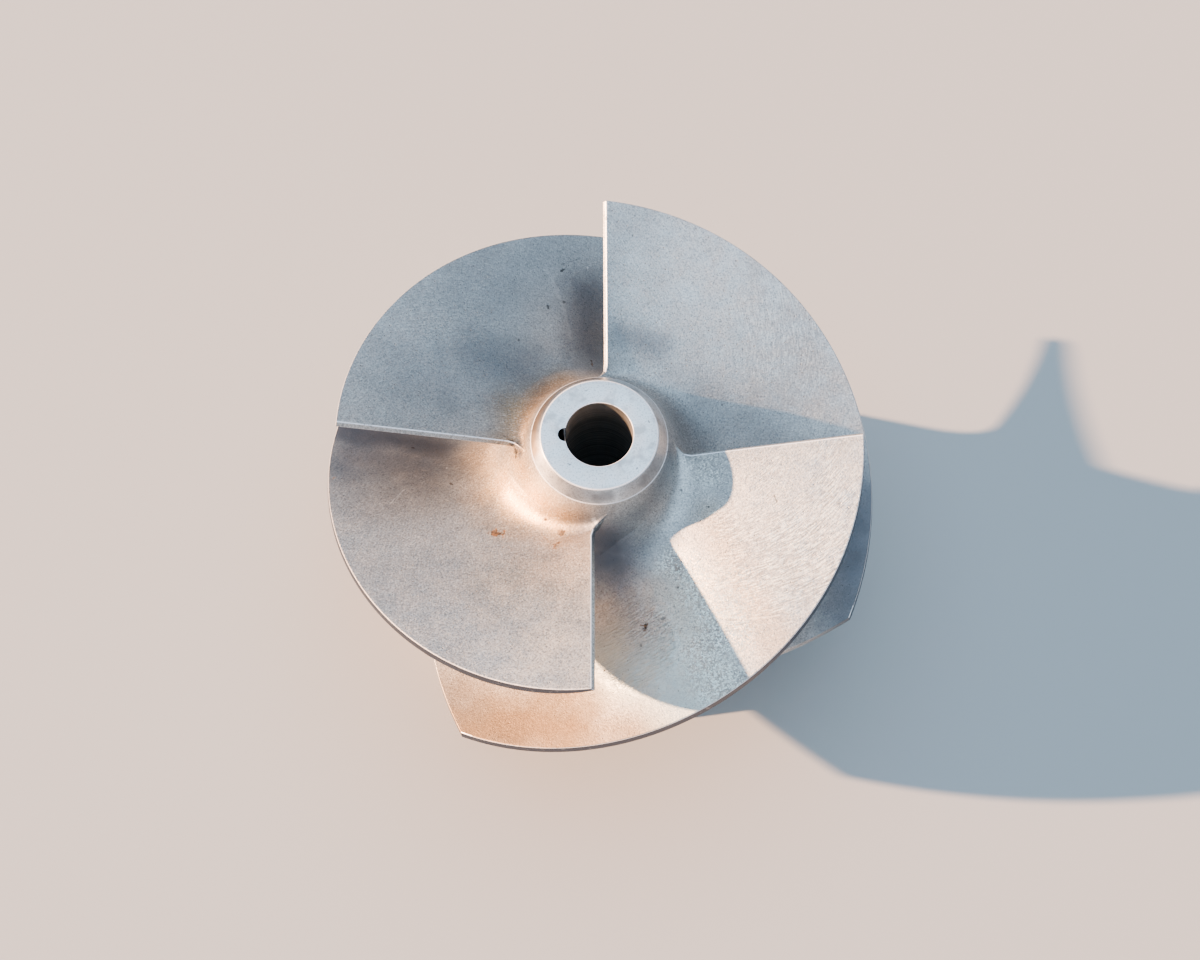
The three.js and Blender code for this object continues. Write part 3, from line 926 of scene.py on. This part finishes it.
def filedSteel(name, look):
    shared = filedLook
    material, tree, shader, place, radius, around, z = startMetal(name)
    shader.inputs["Metallic"].default_value = look["metallic"]
    stretched = vectorOf(tree, calc(tree, "MULTIPLY", around, shared["lineStretch"]), radius, z)
    lines = noise(tree, stretched, *shared["lines"])
    tree.links.new(remap(tree, lines, *noiseRange, *shared["roughness"]), shader.inputs["Roughness"])
    tree.links.new(bump(tree, lines, shared["lineDepth"]), shader.inputs["Normal"])
    nibbles = remap(tree, noise(tree, place, *shared["nibbles"]), *shared["nibbleRange"])
    nibbles = calc(tree, "MULTIPLY", nibbles, shared["nibbleShade"])
    colour = mixColours(tree, nibbles, look["colour"], castLook["grainColour"])
    tree.links.new(colour, shader.inputs["Base Color"])
    return material


# Limits that tell the faces apart, in millimetres, or as parts of a face's normal.
faceLimits = {
    "bandSlack": 0.4,
    "noseSlack": 0.2,
    "backSlack": 0.5,
    "boreSlack": 0.3,
    "boreEnd": 1.0,
    "keySlack": 0.1,
    "noseEdge": 0.6,
    "noseEdgeLean": (0.5, 0.985),
    "leadStart": 50.0,
    "leadSlack": 0.9,
    "leadLean": (-0.15, 0.6),
    "rimSlack": 0.9,
    "rimFacing": 0.93,
    "edgeFacing": 0.35,
}


def isTurned(radius, height):
    lowBand = radius > casting["backRadius"] - faceLimits["bandSlack"] and height < casting["turnedBand"]
    foot = casting["hubHeight"] - casting["coneDepth"] - faceLimits["noseSlack"]
    nose = height > foot and radius < casting["coneRadius"] + faceLimits["noseSlack"]
    back = height < faceLimits["backSlack"]
    return lowBand or nose or back or radius < casting["reliefRadius"] + faceLimits["boreSlack"]


# The broken edges of the nose face and of the foot of the cone, which take the pale edge finish as a
# painted highlight line.
def isNoseEdge(face, radius, height):
    foot = casting["hubHeight"] - casting["coneDepth"]
    low, high = faceLimits["noseEdgeLean"]
    atFoot = foot < height < foot + casting["coneLip"]
    atTop = height > casting["hubHeight"] - faceLimits["noseEdge"] and low < face.normal.z < high
    return radius < casting["coneRadius"] and (atFoot or atTop)


# The upper bevel of a leading edge looks ahead, while the blade's upper face leans back.
def isLeadBevel(face, radius, height):
    low, high = faceLimits["leadLean"]
    ahead = (face.normal.y * face.center.x - face.normal.x * face.center.y) / (radius * mm)
    offEdge = abs(height - upperHeight(radius, leadAngle(radius)))
    return radius > faceLimits["leadStart"] and offEdge < faceLimits["leadSlack"] and low < ahead < high


def inKeyway(x, y, height):
    bottom = casting["hubHeight"] - casting["keyDepth"] - faceLimits["keySlack"]
    fromMiddle = math.hypot(x + casting["boreRadius"], y)
    return height > bottom and fromMiddle < casting["keyRadius"] + faceLimits["keySlack"]


def inBore(radius, height):
    end = faceLimits["boreEnd"]
    widest = casting["reliefRadius"] + faceLimits["boreSlack"]
    return radius < widest and end < height < casting["hubHeight"] - end


# The rim face of a blade is ground, and the narrow faces beside it are its deburred edges.
def finishOf(face):
    x, y, height = (part / mm for part in face.center)
    radius = math.hypot(x, y)
    if isNoseEdge(face, radius, height):
        return "edge"
    # The keyway takes the dark ground finish, which paints it dark as shade.
    if inKeyway(x, y, height):
        return "ground"
    if inBore(radius, height):
        return "bored"
    if isTurned(radius, height):
        return "turned"
    if radius < rimRadius(height) - faceLimits["rimSlack"]:
        # Leading-edge bevels take the pale edge finish, a painted highlight line.
        return "edge" if isLeadBevel(face, radius, height) else "cast"
    outward = (face.normal.x * face.center.x + face.normal.y * face.center.y) / (radius * mm)
    if outward > faceLimits["rimFacing"]:
        return "ground"
    return "edge" if outward > faceLimits["edgeFacing"] else "cast"


def finishFaces(piece):
    finishes = {
        "cast": castSteel(),
        "turned": turnedSteel("stainless_turned_with_painted_light", turnedLook),
        "ground": filedSteel("stainless_ground_rim_painted_dark", paintedDarkGroundLook),
        "edge": filedSteel("stainless_deburred_edge_painted_highlight", paintedHighlightEdgeLook),
        "bored": turnedSteel("stainless_bored", boredLook),
    }
    piece.data.materials.clear()
    for material in finishes.values():
        piece.data.materials.append(material)
    slots = {name: index for index, name in enumerate(finishes)}
    for face in piece.data.polygons:
        face.use_smooth = True
        face.material_index = slots[finishOf(face)]
    piece.data.set_sharp_from_angle(angle=math.radians(casting["smoothAngle"]))


finishFaces(impeller)
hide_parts("impeller")
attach(impeller, "root")
print("impeller finished")

# Stage

stage = {
    "floorSize": 30.0,
    "floorColour": (0.55, 0.55, 0.545),
    "floorRoughness": 0.8,
    "lens": 42.34,
    "sensor": 36.0,
    "cameraPlace": (0.0003, -0.3042, 0.7244),  # from the middle of the nose face
    "cameraPitch": 20.92,  # from straight down
    "cameraRoll": -0.342,
}


def addFloor():
    bm = bmesh.new()
    bmesh.ops.create_grid(bm, x_segments=2, y_segments=2, size=stage["floorSize"] / 2)
    floor = objectFrom(bm, "floor")
    material = bpy.data.materials.new("pale_floor")
    material.use_nodes = True
    shader = material.node_tree.nodes["Principled BSDF"]
    shader.inputs["Base Color"].default_value = (*stage["floorColour"], 1)
    shader.inputs["Roughness"].default_value = stage["floorRoughness"]
    floor.data.materials.append(material)


def addCamera():
    camera = bpy.data.objects.new("camera", bpy.data.cameras.new("camera"))
    camera.data.lens = stage["lens"]
    camera.data.sensor_width = stage["sensor"]
    place = Vector(stage["cameraPlace"]) + Vector((0, 0, casting["hubHeight"] * mm))
    pitch = Matrix.Rotation(math.radians(stage["cameraPitch"]), 4, "X")
    roll = Matrix.Rotation(math.radians(stage["cameraRoll"]), 4, "Z")
    camera.matrix_world = Matrix.Translation(place) @ pitch @ roll
    bpy.context.scene.collection.objects.link(camera)
    bpy.context.scene.camera = camera


# Each lamp is a sun that shines from its place to the origin, and its angle sets how soft it is.
lamps = {
    "key": {"place": (-9.36, 0.41, 3.50), "angle": 1.2, "energy": 14.0, "colour": (1.0, 0.60, 0.36)},
    "overhead": {"place": (0.0, 0.3, 2.2), "angle": 75.0, "energy": 1.9, "colour": (0.60, 0.80, 1.0)},
    "fill": {"place": (0.3, -2.0, 0.55), "angle": 40.0, "energy": 0.3, "colour": (0.88, 0.94, 1.0)},
}
world = {"colour": (0.66, 0.82, 1.0), "strength": 0.30, "look": "AgX - Medium High Contrast"}


def addLamps():
    for name, lamp in lamps.items():
        light = bpy.data.lights.new(name, "SUN")
        light.angle = math.radians(lamp["angle"])
        light.energy = lamp["energy"]
        light.color = lamp["colour"]
        made = bpy.data.objects.new(name, light)
        made.location = lamp["place"]
        made.rotation_euler = Vector(lamp["place"]).to_track_quat("Z", "Y").to_euler()
        bpy.context.scene.collection.objects.link(made)
    studio = bpy.data.worlds.new("studio")
    studio.use_nodes = True
    background = studio.node_tree.nodes["Background"]
    background.inputs["Color"].default_value = (*world["colour"], 1)
    background.inputs["Strength"].default_value = world["strength"]
    bpy.context.scene.world = studio
    bpy.context.scene.view_settings.look = world["look"]


addFloor()
addCamera()
addLamps()
print("stage set")
